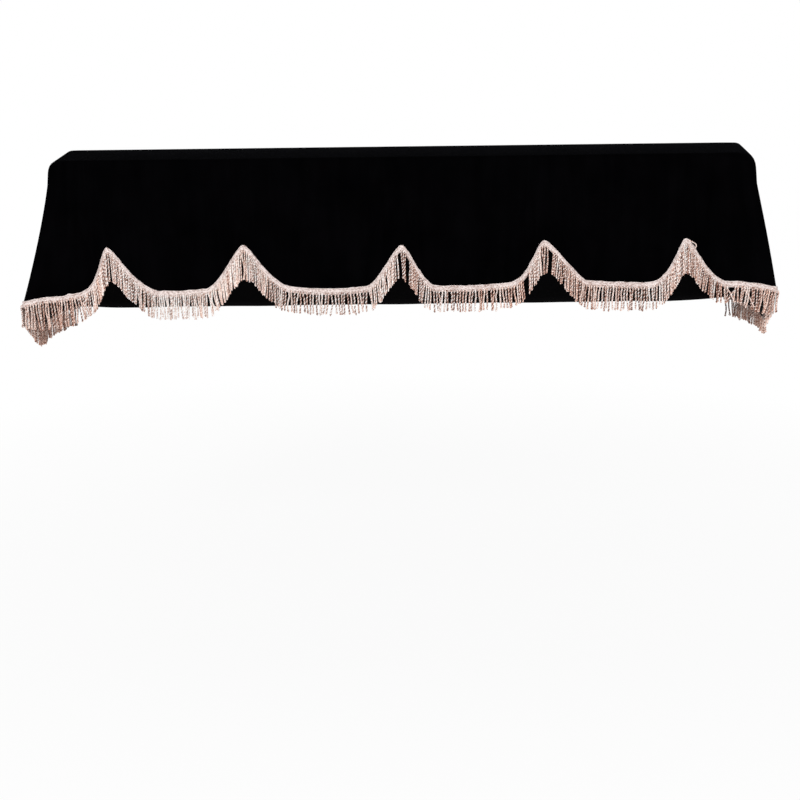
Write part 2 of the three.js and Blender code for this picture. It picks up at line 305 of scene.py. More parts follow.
FRONT_WAVES = (Wave(3.4, 386, 40), Wave(1.9, 171, 12))
BACK_WAVES = (Wave(4.6, 330, 90), Wave(2.4, 149, 30))


def lerp(a: float, b: float, share: float) -> float:
    """Returns the value a share of the way from a to b."""
    return a + (b - a) * share


def smooth_step(values: Array) -> Array:
    """Returns values eased from 0 to 1, and held there outside that range."""
    t = np.clip(values, 0.0, 1.0)
    return t * t * (3 - 2 * t)


def unit(vectors: Array) -> Array:
    """Returns the vectors along the last axis at length 1."""
    return vectors / np.maximum(np.linalg.norm(vectors, axis=-1, keepdims=True), 1e-9)


def distances(line: Array) -> Array:
    """Returns how far along a line of points each of them lies."""
    return np.concatenate([[0.0], np.cumsum(np.linalg.norm(np.diff(line, axis=0), axis=1))])


def read(places: Array, knots: Array, rows: Array) -> Array:
    """Returns a row of values for each place, read between the rows at the knots."""
    return np.column_stack([np.interp(places, knots, column) for column in rows.T])


def columns(rows: Sequence[object], *names: str) -> list[Array]:
    """Returns the named columns of a table."""
    return [np.array([getattr(row, name) for row in rows], float) for name in names]


def soft_noise(places: Array, span: float, seed: int) -> Array:
    """A smooth random line.

    Args:
        places: where it is read.
        span: the distance between its random knots.
        seed: picks the line.

    Returns:
        A value from -1 to 1 for each place.
    """
    knots = np.random.default_rng(seed).uniform(-1, 1, 4096)
    low = np.floor(places / span).astype(int)
    share = smooth_step(places / span - low)
    return knots[low % 4096] * (1 - share) + knots[(low + 1) % 4096] * share


# ---- The drape -----------------------------------------------------------------------------------


@dataclass
class Fall:
    """One fall of the cloth, from the top edge to its hem.

    `edge` is its place round the end, `top` and `hem` are its plan positions, `facing` is the
    outward direction at the top edge, and `ripple` is how far the hanging panel waves outwards.
    """

    edge: float
    top: Array
    facing: Array
    hem: Array
    drop: float
    roll: float
    bow: float
    ripple: float = 0.0


@dataclass
class Hang:
    """The hanging cloth as a row of falls, and the surface that they span.

    Args:
        falls: the falls, anticlockwise seen from above.
        cloth: the cloth's thickness.
        slope_window: how far to each side the hem's slope is taken.
        lean_window: the same for the cords.
        squareness: 1 where depths are counted square to a sloping hem, 0 where plumb.
    """

    falls: Sequence[Fall]
    cloth: float
    slope_window: float = 10.0
    lean_window: float = 50.0
    squareness: float = 0.5

    def __post_init__(self) -> None:
        """Lays the falls out as arrays and measures the hem."""
        self.top, self.hem, self.facing = columns(self.falls, "top", "hem", "facing")
        self.edge, self.drop, self.roll = columns(self.falls, "edge", "drop", "roll")
        self.bow, self.ripple = columns(self.falls, "bow", "ripple")
        self.length = np.hypot(np.linalg.norm(self.hem - self.top, axis=1), self.drop)
        self.place = distances(self.at(1.0))
        self.run = distances(self.hem)
        windows = (self.run - self.slope_window, self.run + self.slope_window)
        rises = [np.abs(np.interp(window, self.run, self.drop) - self.drop) for window in windows]
        self.secant = np.hypot(1, sum(rises) / (2 * self.slope_window)) ** self.squareness

    def at(self, share: float) -> Array:
        """Returns each fall's point a share of the way down, on the middle of the cloth."""
        return self.each(np.full(len(self.falls), share))

    def each(self, shares: Array) -> Array:
        """Returns one point on each fall, at a share of its own."""
        bowed = np.where(shares < 1, shares - 4 * self.bow * shares * (1 - shares), shares)
        plan = self.top + (self.hem - self.top) * bowed[:, None]
        plan = plan + self.facing * (self.ripple * np.maximum(shares, 0.0) ** 1.4)[:, None]
        return np.column_stack([plan, self.cloth / 2 - self.drop * shares])

    def below(self, depth: float) -> Array:
        """Returns each fall's point `depth` below its hem line, counted nearly square to that line."""
        return self.each(1 + depth * self.secant / self.length)

    def turn(self, share: float) -> Array:
        """Returns each fall's point a share of the way round the turn over the top edge."""
        pivot, end = self.at(0.0), self.each(self.roll / self.drop)
        start = pivot - np.column_stack([self.facing * self.roll[:, None], 0 * self.roll])
        return start * (1 - share) ** 2 + pivot * 2 * share * (1 - share) + end * share**2

    def ways(self, lean: float) -> Array:
        """Returns which way cords hang from each fall: plumb, and fanned out under a slope."""
        before, after = (
            read(self.run + step, self.run, self.at(1.0)) for step in (-self.lean_window, self.lean_window)
        )
        along = unit(after - before)
        return np.array([0.0, 0.0, -1.0]) + along * (lean * along[:, 2:])


@dataclass
class Drape:
    """The cover's form as it hangs, worked out from its driving sizes and the tables above."""

    top_width: float = 1448.0
    top_depth: float = 226.0
    cloth: float = 2.0
    edge_roll: float = 16.0
    tip_round: float = 12.6
    front_share_end: float = -20.0
    fringe_end: float = 228.0
    back_drop: float = 350.0
    front_step: float = 4.0
    back_step: float = 14.0
    end_step: float = 4.0
    wave_fade: float = 90.0

    def front_drop(self, x: float) -> float:
        """Returns the drop of the front hem at x."""
        after = sum(scallop.at <= x for scallop in SCALLOPS)
        lobe, share = LOBES[after], 0.0
        if 0 < after < len(SCALLOPS):
            start, end = SCALLOPS[after - 1].at, SCALLOPS[after].at
            share = (x - start) / (end - start)
        drop = lerp(lobe.left, lobe.right, share) + lobe.sag * math.sin(math.pi * share)
        for at, tip, left_width, left_bow, right_width, right_bow in SCALLOPS:
            width, bow = (left_width, left_bow) if x < at else (right_width, right_bow)
            reach = (math.hypot(x - at, self.tip_round) - self.tip_round) / width
            if reach < 1:
                drop = lerp(drop, tip, (1 - reach) ** bow)
        return drop

    def top_edge(self, edge: float, corner: float, rear: float) -> tuple[Array, Array]:
        """A point of the top edge.

        Args:
            edge: its place, 0 at the front corner, negative along the front edge.
            corner: the front corner's radius in plan.
            rear: the rear corner's.

        Returns:
            Its place and its outward direction, as (out, back) from the front corner.
        """
        a, b = (
            math.pi / 2 * min(max((edge - start + radius) / (2 * radius), 0.0), 1.0)
            for start, radius in ((0.0, corner), (self.top_depth, rear))
        )
        straight = min(max(edge - corner, 0.0), self.top_depth - rear - corner)
        out = corner * (math.sin(a) - 1) + min(edge + corner, 0.0)
        out += rear * (math.cos(b) - 1) - max(edge - self.top_depth - rear, 0.0)
        back = corner * (1 - math.cos(a)) + straight + rear * math.sin(b)
        return np.array([out, back]), np.array([math.sin(a) * math.cos(b), math.sin(b) - math.cos(a)])

    def fall(self, end: End, edge: float, out: float, back: float, drop: float) -> Fall:
        """Returns the fall that leaves the top edge at `edge` and hangs to `out` and `back`."""
        shape = END_SHAPES[end]
        at, facing = self.top_edge(edge, shape.corner, shape.rear)
        along = min(max(edge / self.top_depth, 0.0), 1.0)
        on_end = abs(facing[0])
        stand = on_end * lerp(shape.stand, shape.rear_stand, along)
        corner = np.array([self.top_width / 2, -self.top_depth / 2])
        mirror = np.array([end.value, 1.0])
        return Fall(
            edge=edge,
            top=mirror * (corner + at + (stand, 0.0)),
            facing=mirror * facing,
            hem=mirror * (corner + (out, back)),
            drop=drop,
            roll=lerp(self.edge_roll, lerp(shape.corner, shape.rear, along), on_end),
            bow=shape.bow,
        )

    def end_falls(self, end: End) -> list[Fall]:
        """Returns the falls round one end, from the front to the back, on a smooth curve."""
        rows = np.array(HEM_ROWS[end], float)
        falls = []
        for index in range(len(rows) - 1):
            a, b, c, d = rows[np.clip(np.arange(index - 1, index + 3), 0, len(rows) - 1)]
            steps = max(3, round(float(np.linalg.norm(c - b)) / self.end_step))
            for share in (step / steps for step in range(steps)):
                curve = 2 * a - 5 * b + 4 * c - d + share * (3 * (b - c) + d - a)
                edge, out, back, drop = (b + share / 2 * (c - a + share * curve)).tolist()
                if out < self.front_share_end and index < len(rows) / 2:
                    drop = self.front_drop(end.value * (self.top_width / 2 + out))
                falls.append(self.fall(end, edge, out, back, drop))
        return [*falls, self.fall(end, *rows[-1])]

    def straight(self, x: float, behind: bool) -> Fall:
        """Returns a fall of the straight front or back, at x."""
        end = End.LEFT if x < 0 else End.RIGHT
        row = HEM_ROWS[end][-1 if behind else 0]
        out = abs(x) - self.top_width / 2
        edge, drop = (self.top_depth - out, self.back_drop) if behind else (out, self.front_drop(x))
        fall = self.fall(end, edge, out, row.back, drop)
        waves = BACK_WAVES if behind else FRONT_WAVES
        wave = sum(w.reach * 0.5 * (1 + math.sin((x - w.start) / w.length * math.tau)) for w in waves)
        fall.ripple = wave * float(smooth_step(np.array((row.out - out) / self.wave_fade)))
        return fall

    def row(self, start: Fall, end: Fall, step: float, behind: bool) -> list[Fall]:
        """Returns the falls of the straight front or back between two falls."""
        first, last = start.hem[0], end.hem[0]
        xs = np.linspace(first, last, round(abs(last - first) / step) + 1)[1:-1]
        return [self.straight(float(x), behind) for x in xs]

    def runs(self) -> tuple[list[Fall], list[Fall], list[Fall], list[Fall]]:
        """Returns the falls of the front, the right end, the back and the left end, in a ring."""
        left, right = self.end_falls(End.LEFT), self.end_falls(End.RIGHT)
        front = self.row(left[0], right[0], self.front_step, False)
        return front, right, self.row(right[-1], left[-1], self.back_step, True), left[::-1]

    def whole(self) -> Hang:
        """Returns the whole hanging cloth."""
        front, right, back, left = self.runs()
        return Hang([*front, *right, *back, *left], self.cloth)

    def fringed(self) -> Hang:
        """Returns the stretch that carries the fringe, from the left rear to the right rear."""
        front, right, _, left = self.runs()
        on_left = [fall for fall in left if fall.edge <= self.fringe_end]
        on_right = [fall for fall in right if fall.edge <= self.fringe_end]
        return Hang([*on_left, *front, *on_right], self.cloth)


# ---- Meshes --------------------------------------------------------------------------------------


class Mesh:
    """Points, faces and what is known at each point, gathered until they become an object."""

    def __init__(self) -> None:
        """Starts an empty mesh."""
        self.points: list[Array] = []
        self.faces: list[Array] = []
        self.slots: list[Array] = []
        self.uvs: list[Array] = []
        self.values: dict[str, list[Array]] = {}
        self.count = 0

    def add_points(self, points: Array, uvs: Array, **values: Array) -> Array:
        """Adds points, in millimetres.

        Args:
            points: an array whose last axis is x, y and z.
            uvs: their places on the piece's UV map.
            **values: further numbers at each point, kept as attributes.

        Returns:
            The new points' numbers, in the shape of the array.
        """
        shape = points.shape[:-1]
        number = int(np.prod(shape))
        numbers = self.count + np.arange(number).reshape(shape)
        self.points.append(points.reshape(-1, 3))
        self.uvs.append(uvs.reshape(-1, 2))
        for name, value in values.items():
            self.values.setdefault(name, []).append(np.broadcast_to(value, shape).reshape(-1))
        self.count += number
        return numbers

    def add_faces(self, corners: Array, slot: int = 0) -> None:
        """Adds faces, whose corners are on the last axis, in one material slot."""
        corners = corners.reshape(-1, corners.shape[-1])
        self.faces.append(corners)
        self.slots.append(np.full(len(corners), slot))

    def add_grid(self, numbers: Array, wrap: tuple[bool, bool], slot: int = 0) -> None:
        """Adds the quads between the rows and columns of a grid of points.

        Args:
            numbers: the points' numbers, with the grid's two axes last.
            wrap: whether each of those axes closes on itself.
            slot: the material slot.
        """
        for axis, closes in zip((-2, -1), wrap):
            if closes:
                first = np.take(numbers, [0], axis=axis)
                numbers = np.concatenate([numbers, first], axis=axis)
        a, b = numbers[..., :-1, :-1], numbers[..., :-1, 1:]
        c, d = numbers[..., 1:, 1:], numbers[..., 1:, :-1]
        self.add_faces(np.stack([a, b, c, d], axis=-1), slot)

    def make(self, name: str) -> Piece:
        """Returns the finished object, smooth, with its UV map and attributes."""
        mesh = bpy.data.meshes.new(name)
        points = np.concatenate(self.points) * METRE
        sizes = np.concatenate([np.full(len(f), f.shape[1]) for f in self.faces])
        corners = np.concatenate([f.reshape(-1) for f in self.faces])
        mesh.vertices.add(len(points))
        mesh.vertices.foreach_set("co", points.reshape(-1).astype(np.float32))
        mesh.loops.add(len(corners))
        mesh.loops.foreach_set("vertex_index", corners.astype(np.int32))
        mesh.polygons.add(len(sizes))
        starts = np.concatenate([[0], np.cumsum(sizes)[:-1]])
        mesh.polygons.foreach_set("loop_start", starts.astype(np.int32))
        mesh.polygons.foreach_set("material_index", np.concatenate(self.slots).astype(np.int32))
        mesh.update(calc_edges=True)
        layer = mesh.uv_layers.new(name="run")
        layer.uv.foreach_set("vector", np.concatenate(self.uvs)[corners].reshape(-1).astype(np.float32))
        for title, parts in self.values.items():
            attribute = mesh.attributes.new(title, "FLOAT", "POINT")
            attribute.data.foreach_set("value", np.concatenate(parts).astype(np.float32))
        mesh.polygons.foreach_set("use_smooth", np.ones(len(sizes), bool))
        mesh.validate()
        piece = bpy.data.objects.new(name, mesh)
        bpy.context.scene.collection.objects.link(piece)
        return piece


# ---- Shader building blocks ----------------------------------------------------------------------


class Shader:
    """A material, a world or a node group under construction."""

    def __init__(self, tree: Tree) -> None:
        """Starts on an empty tree."""
        self.tree = tree
        tree.nodes.clear()

    def node(self, kind: str, settings: Optional[dict] = None, **inputs: Value) -> bpy.types.Node:
        """Adds a node.

        Args:
            kind: the node's type name, without its ShaderNode start.
            settings: the node's own properties.
            **inputs: values or sockets for its inputs, with _ for a space, or in0, in1 by number.

        Returns:
            The node.
        """
        node = self.tree.nodes.new(kind if kind.startswith("Node") else "ShaderNode" + kind)
        for name, value in (settings or {}).items():
            setattr(node, name, value)
        for name, value in inputs.items():
            numbered = name.startswith("in") and name[2:].isdigit()
            socket = node.inputs[int(name[2:]) if numbered else name.replace("_", " ")]
            if isinstance(value, Socket):
                self.tree.links.new(value, socket)
            else:
                socket.default_value = value
        return node

    def math(self, operation: str, *values: Value, clamp: bool = False) -> Socket:
        """Returns the result of one sum on values or sockets."""
        inputs = {f"in{index}": value for index, value in enumerate(values)}
        return self.node("Math", {"operation": operation, "use_clamp": clamp}, **inputs).outputs[0]

    def sine(self, turns: Socket) -> Socket:
        """Returns the sine of a number of turns."""
        return self.math("SINE", self.math("MULTIPLY", turns, math.tau))

    def blend(self, share: Value, a: Value, b: Value, way: str = "MIX") -> Socket:
        """Returns a colour a share of the way from a to b, or from a to both multiplied."""
        kind = {"data_type": "RGBA", "blend_type": way}
        return self.node("Mix", kind, in0=share, in6=a, in7=b).outputs[2]

    def spread(self, value: Socket, low: float, high: float, start: float = 0.0, end: float = 1.0) -> Socket:
        """Returns a value from start to end spread evenly between low and high, and held there."""
        limits = {"From_Min": start, "From_Max": end, "To_Min": low, "To_Max": high}
        return self.node("MapRange", {"clamp": True}, Value=value, **limits).outputs["Result"]


class Group(Shader):
    """A shared node group under construction; `given` holds what comes in."""

    def __init__(self, name: str, inputs: dict[str, str], outputs: dict[str, str]) -> None:
        """Starts the group.

        Args:
            name: its name.
            inputs: the kind of each named input: Float, Color or Vector.
            outputs: the same for its outputs.
        """
        super().__init__(bpy.data.node_groups.new(name, "ShaderNodeTree"))
        for way, sockets in (("INPUT", inputs), ("OUTPUT", outputs)):
            for title, kind in sockets.items():
                self.tree.interface.new_socket(title, in_out=way, socket_type="NodeSocket" + kind)
        self.given = list(self.node("NodeGroupInput").outputs)[: len(inputs)]

    def put_out(self, **values: Socket) -> Tree:
        """Joins values to the outputs and returns the finished group."""
        self.node("NodeGroupOutput", **values)
        return self.tree


@cache
def fibre_group() -> Tree:
    """Returns the group for spun fibre: fine hairs along a vector, and a slow cloudiness."""
    inputs = {"Vector": "Vector", "Hair Scale": "Float", "Cloud Scale": "Float"}
    group = Group("spun_fibre", inputs, {"Height": "Float", "Cloud": "Float"})
    vector, hair, cloud = group.given
    hairs = group.node("TexNoise", Vector=vector, Scale=hair, Detail=4.0, Roughness=0.6)
    clouds = group.node("TexNoise", Vector=vector, Scale=cloud, Detail=2.0, Roughness=0.5)
    return group.put_out(Height=hairs.outputs["Fac"], Cloud=clouds.outputs["Fac"])


@cache
def dye_and_shade_group() -> Tree:
    """Returns the group for thread colour: dark, middle or pale as a level runs from 0 to 1; the level
    carries both the thread's own dye and painted shade.
    """
    inputs = {"Level": "Float", "Dark": "Color", "Middle": "Color", "Pale": "Color"}
    group = Group("dyed_and_shaded_thread", inputs, {"Color": "Color"})
    level, dark, middle, pale = group.given
    low = group.blend(group.math("MULTIPLY", level, 2.0, clamp=True), dark, middle)
    high = group.math("MULTIPLY_ADD", level, 2.0, -1.0, clamp=True)
    return group.put_out(Color=group.blend(high, low, pale))


class Surface(Shader):
    """A material under construction, with its piece's UV map, in metres, as `run`."""

    def __init__(self, name: str) -> None:
        """Starts the material."""
        self.material = bpy.data.materials.new(name)
        self.material.use_nodes = True
        super().__init__(self.material.node_tree)
        self.run = self.node("UVMap", {"uv_map": "run"}).outputs["UV"]
        self.u, self.v, _ = self.node("SeparateXYZ", Vector=self.run).outputs

    def known(self, name: str) -> Socket:
        """Returns what the piece's points hold under a name."""
        return self.node("Attribute", {"attribute_name": name}).outputs["Fac"]

    def fibres(self, vector: Socket, hair: float, cloud: float) -> tuple[Socket, Socket]:
        """Returns the height and the cloudiness of spun fibre, at two scales along a vector."""
        group = {"node_tree": fibre_group()}
        return tuple(self.node("Group", group, Vector=vector, Hair_Scale=hair, Cloud_Scale=cloud).outputs)

    def dyed_and_shaded(self, level: Socket, dark: Colour, middle: Colour, pale: Colour) -> Socket:
        """Returns the colour of thread at a level that carries both its dye and painted shade."""
        group = {"node_tree": dye_and_shade_group()}
        return self.node("Group", group, Level=level, Dark=dark, Middle=middle, Pale=pale).outputs[0]

    def relief(self, *layers: tuple[float, float, Socket]) -> Socket:
        """Returns the normal over layers of relief, each a strength, a depth and a height."""
        below: dict[str, Socket] = {}
        for strength, depth, height in layers:
            bump = self.node("Bump", Strength=strength, Distance=depth, Height=height, **below)
            below = {"Normal": bump.outputs[0]}
        return below["Normal"]

    def finish(self, **inputs: Value) -> Material:
        """Returns the finished material, a principled surface with the given inputs."""
        self.node("OutputMaterial", Surface=self.node("BsdfPrincipled", **inputs).outputs[0])
        return self.material


# ---- Finishes ------------------------------------------------------------------------------------


@dataclass(frozen=True)
class Velvet:
    """Black cotton velvet: a short dense pile whose nap lies a little this way and that."""

    deep: Colour = (0.0003, 0.0003, 0.0004, 1.0)
    light: Colour = (0.0012, 0.0011, 0.0014, 1.0)
    sheen: float = 0.010
    sheen_tint: Colour = (0.62, 0.63, 0.72, 1.0)
    nap: tuple[float, float, float] = (26.0, 5.0, 1.0)
    hem_row: float = 0.0045
    thread: float = 0.0012
    stitch: float = 0.0034

    def stitches(self, shader: Surface) -> Socket:
        """Returns the hem's row of machine stitches: 1 on the thread."""
        away = shader.math("ABSOLUTE", shader.math("SUBTRACT", shader.v, self.hem_row))
        ridge = shader.math("SUBTRACT", 1.0, shader.math("DIVIDE", away, self.thread), clamp=True)
        beat = shader.math("FRACT", shader.math("DIVIDE", shader.u, self.stitch))
        swing = shader.math("ABSOLUTE", shader.math("SUBTRACT", beat, 0.5))
        dash = shader.math("MULTIPLY", shader.math("SUBTRACT", 0.42, swing), 8.0, clamp=True)
        return shader.math("MULTIPLY", ridge, dash)

    def material(self) -> Material:
        """Returns the pile side's material, with its stitches sunk into the pile."""
        shader = Surface("black_velvet_pile")
        hair, cloud = shader.fibres(shader.node("TexCoord").outputs["Object"], 900.0, 14.0)
        stroked = shader.node("Mapping", Vector=shader.run, Scale=self.nap).outputs[0]
        nap = shader.node("TexNoise", Vector=stroked, Scale=1.0, Detail=3.0, Distortion=0.6).outputs["Fac"]
        shade = shader.spread(shader.math("MULTIPLY", nap, cloud), 0.0, 2.4)
        sunk = shader.math("SUBTRACT", 1.0, self.stitches(shader))
        return shader.finish(
            Base_Color=shader.blend(shade, self.deep, self.light),
            Roughness=shader.spread(hair, 0.72, 0.98),
            Specular_IOR_Level=0.0,
            Sheen_Weight=self.sheen,
            Sheen_Roughness=0.32,
            Sheen_Tint=self.sheen_tint,
            Normal=shader.relief((0.55, 0.0007, hair), (0.25, 0.0030, nap), (0.8, 0.0008, sunk)),
        )


@dataclass(frozen=True)
class VelvetGround:
    """The wrong side of the velvet: a plain, close black ground weave."""

    warp: Colour = (0.0060, 0.0057, 0.0064, 1.0)
    gap: Colour = (0.0020, 0.0019, 0.0022, 1.0)
    threads: float = 620.0

    def material(self) -> Material:
        """Returns the wrong side's material."""
        shader = Surface("velvet_ground_weave")
        ways = (shader.sine(shader.math("MULTIPLY", way, self.threads)) for way in (shader.u, shader.v))
        height = shader.math("MULTIPLY_ADD", shader.math("MULTIPLY", *ways), 0.5, 0.5)
        _, cloud = shader.fibres(shader.run, 900.0, 30.0)
        mixed = shader.math("MULTIPLY", height, shader.spread(cloud, 0.6, 1.0))
        return shader.finish(
            Base_Color=shader.blend(mixed, self.gap, self.warp),
            Roughness=0.9,
            Specular_IOR_Level=0.05,
            Normal=shader.relief((0.5, 0.0004, height)),
        )


@dataclass(frozen=True)
class Braid:
    """The heading's woven viscose: champagne wefts that bring up flecks of their ruddy-brown ground. Its
    darkest colour also serves as painted shade in the heading's recesses and on its back.
    """

    cream: Colour = (0.80, 0.70, 0.672, 1.0)
    champagne: Colour = (0.46, 0.345, 0.31, 1.0)
    # Darkest colour: the ground's own flecks, and painted shade where the heading's tone is lowered.
    rust_and_shade: Colour = (0.20, 0.10, 0.075, 1.0)
    flecks: tuple[float, float, float] = (210.0, 320.0, 1.0)
    fleck_slant: float = 0.6
    wefts: float = 620.0
    zigzags: float = 330.0

    def material(self) -> Material:
        """Returns the heading's material. Its UV map runs along and across."""
        shader = Surface("champagne_braid")
        zigzag = shader.math("PINGPONG", shader.math("MULTIPLY", shader.v, self.zigzags), 0.5)
        weft = shader.sine(shader.math("MULTIPLY_ADD", shader.u, self.wefts, zigzag))
        hair, cloud = shader.fibres(shader.run, 1500.0, 75.0)
        turn = (0.0, 0.0, self.fleck_slant)
        slant = shader.node("Mapping", Vector=shader.run, Rotation=turn, Scale=self.flecks).outputs[0]
        fleck = shader.node("TexNoise", Vector=slant, Scale=1.0, Detail=3.0, Roughness=0.62).outputs["Fac"]
        speckled = shader.math("ADD", shader.known("tone"), shader.spread(fleck, -0.55, 0.16, 0.34, 0.60))
        level = shader.math("ADD", speckled, shader.spread(cloud, -0.12, 0.12), clamp=True)
        return shader.finish(
            Base_Color=shader.dyed_and_shaded(level, self.rust_and_shade, self.champagne, self.cream),
            Roughness=shader.spread(hair, 0.5, 0.75),
            Specular_IOR_Level=0.35,
            Sheen_Weight=0.15,
            Sheen_Roughness=0.4,
            Normal=shader.relief((0.6, 0.0005, shader.spread(weft, 0.0, 1.0)), (0.4, 0.0003, hair)),
        )


@dataclass(frozen=True)
class TwistedCord:
    """Bullion cord: satiny viscose filaments laid slantwise round each ply. Its darkest colour is both the
    thread's ruddy-brown and painted shade in the ply hollows.
    """

    cream: Colour = (1.0, 0.965, 0.945, 1.0)
    champagne: Colour = (0.62, 0.40, 0.32, 1.0)
    # Darkest colour: the thread's own ruddy-brown, and painted shade where the tone is lowered in the ply
    # hollows.
    rust_and_shade: Colour = (0.115, 0.032, 0.017, 1.0)
    blush: Colour = (0.98, 0.78, 0.69, 1.0)
    lay: tuple[float, float] = (1100.0, 520.0)

    def material(self) -> Material:
        """Returns the cords' material. Their UV map runs round and along each ply."""
        shader = Surface("champagne_bullion")
        slant = shader.math("MULTIPLY", shader.u, self.lay[0])
        lay = shader.sine(shader.math("MULTIPLY_ADD", shader.v, self.lay[1], slant))
        hair, cloud = shader.fibres(shader.run, 1300.0, 210.0)
        fleck = shader.spread(cloud, -0.52, 0.40, 0.38, 0.62)
        level = shader.math("ADD", shader.known("tone"), fleck, clamp=True)
        colour = shader.dyed_and_shaded(level, self.rust_and_shade, self.champagne, self.cream)
        return shader.finish(
            # Warmth tints towards blush; round the ends and front corners part of it is painted shade from
            # the table of stretches.
            Base_Color=shader.blend(shader.known("warmth"), colour, self.blush, "MULTIPLY"),
            Roughness=shader.spread(hair, 0.42, 0.66),
            Specular_IOR_Level=0.4,
            Sheen_Weight=0.12,
            Sheen_Roughness=0.4,
            Normal=shader.relief((0.35, 0.0002, shader.spread(lay, 0.0, 1.0))),
        )


# ---- Sub-assemblies ------------------------------------------------------------------------------


@dataclass
class CoverCloth:
    """The velvet sheet, with its turned and sewn hem, in two faces joined round the edge."""

    drape: Drape
    heading_lap: float = 7.0
    turn_rows: int = 6
    fall_rows: int = 26
    hem_depth: float = 16.0
    hem_swell: float = 0.9
    spine_reach: float = 600.0
    spine_nodes: int = 25
    spine_above: float = 450.0
    flat: tuple[float, float] = (2.16, 0.84)
    piece: Optional[Piece] = field(default=None, init=False)

    def build(self) -> Piece:
        """Returns the cloth, made from the drape's falls."""
        hang = self.drape.whole()
        start = hang.roll / hang.drop
        span = 1 + self.heading_lap * hang.secant / hang.length - start
        turns = [hang.turn(k / self.turn_rows) for k in range(self.turn_rows + 1)]
        falls = [hang.each(start + span * k / self.fall_rows) for k in range(1, self.fall_rows + 1)]
        middle = np.stack([*turns, *falls], axis=1)
        above, outward = self.above_hem(middle), self.outward(middle)
        uvs = np.stack(np.broadcast_arrays(hang.place[:, None], above), axis=-1) * METRE
        half = self.drape.cloth / 2
        swell = self.hem_swell * (1 - smooth_step((above - self.hem_depth) / 3.0 + 1.0))
        mesh = Mesh()
        pile = mesh.add_points(middle + outward * half, uvs)
        wrong = mesh.add_points(middle - outward * (half + swell)[..., None], uvs)
        rim = np.stack([pile[:, -1], wrong[:, -1]], axis=1)
        for numbers, side in ((pile, Side.PILE), (wrong[:, ::-1], Side.WRONG), (rim, Side.PILE)):
            mesh.add_grid(numbers, (True, False), side.value)
        self.fill_top(mesh, pile[:, 0], middle[:, 0], self.drape.cloth, Side.PILE)
        self.fill_top(mesh, wrong[:, 0], middle[:, 0], 0.0, Side.WRONG)
        self.piece = mesh.make("velvet_cloth")
        return self.piece

    def above_hem(self, middle: Array) -> Array:
        """Returns how far above the cloth's edge each point lies, along its fall."""
        steps = np.linalg.norm(np.diff(middle, axis=1), axis=2)
        return np.pad(np.cumsum(steps[:, ::-1], axis=1)[:, ::-1], ((0, 0), (0, 1)))

    def outward(self, middle: Array) -> Array:
        """Returns the outward direction at each point of the surface."""
        across = np.roll(middle, -1, axis=0) - np.roll(middle, 1, axis=0)
        way = unit(np.cross(np.gradient(middle, axis=1), across))
        way[:, 0] = (0.0, 0.0, 1.0)
        return way

    def fill_top(self, mesh: Mesh, ring: Array, places: Array, height: float, side: Side) -> None:
        """Closes one face of the flat top, from its ring in to the line down its middle.

        Args:
            mesh: the cloth under construction.
            ring: the numbers of the ring's points.
            places: where they lie.
            height: the face's height.
            side: which face of the velvet it is.
        """
        xs = np.linspace(-self.spine_reach, self.spine_reach, self.spine_nodes)
        uvs = np.column_stack([xs + self.spine_reach, 0 * xs + self.spine_above]) * METRE
        spine = mesh.add_points(np.column_stack([xs, 0 * xs, 0 * xs + height]), uvs)
        nearest = np.round(np.interp(places[:, 0], xs, np.arange(len(xs)))).astype(int)
        faces = []
        for vertex, after, node, target in zip(ring, np.roll(ring, -1), nearest, np.roll(nearest, -1)):
            faces.append((vertex, after, spine[node]))
            while node != target:
                step = node + (1 if target > node else -1)
                faces.append((after, spine[step], spine[node]))
                node = step
        corners = np.array(faces)
        mesh.add_faces(corners if side is Side.PILE else corners[:, ::-1], side.value)

    def dress(self) -> None:
        """Gives the cloth its two faces and puts it in place of the CAD sheet."""
        self.piece.data.materials.append(Velvet().material())
        self.piece.data.materials.append(VelvetGround().material())
        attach(self.piece, "root")
        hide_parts("cover_cloth")


@dataclass
class FringeLayout:
    """Where the cords leave the hem, and what the table of stretches says of each."""

    drape: Drape
    margin: float = 2.5
    jitter: float = 0.12
    point_more: float = 15.0
    point_reach: float = 24.0
    seed: int = 7

    def __post_init__(self) -> None:
        """Spaces the cords along the hem."""
        self.hang = hang = self.drape.fringed()
        station = np.sign(hang.top[:, 0]) * (self.drape.top_width / 2 + hang.edge)
        spacing = self.stretch(station, "spacing")
        number = np.concatenate([[0.0], np.cumsum(np.diff(hang.place) * 2 / (spacing[1:] + spacing[:-1]))])
        wanted = np.arange(0.5, number[-1] - 0.5)
        wanted = wanted + np.random.default_rng(self.seed).normal(0, self.jitter, len(wanted))
        last = hang.place[-1] - self.margin
        places = np.clip(np.interp(wanted, number, hang.place), self.margin, last)
        front = hang.edge < -2
        x = np.interp(places, hang.place, hang.hem[:, 0])
        on_front = np.interp(places, hang.place, front.astype(float)) > 0.5
        kept = ~(on_front & np.any([np.abs(x - gap.at) < gap.width / 2 for gap in GAPS], axis=0))
        self.places = places[kept]
        self.station = np.interp(self.places, hang.place, station)
        near = [1 - np.abs(x[kept] - scallop.at) / self.point_reach for scallop in SCALLOPS]
        self.gathered = self.point_more * smooth_step(np.max(near, axis=0))
        loose = [*(stray.at for stray in STRAYS), LOOSE_LOOP.at]
        *strays, self.loop = np.interp(loose, hang.hem[front, 0], hang.place[front])
        self.strays = np.array(strays)

    def stretch(self, station: Array, name: str) -> Array:
        """Returns one column of the table of stretches, read at the given stations."""
        return np.interp(station, *columns(STRETCHES, "at", name))


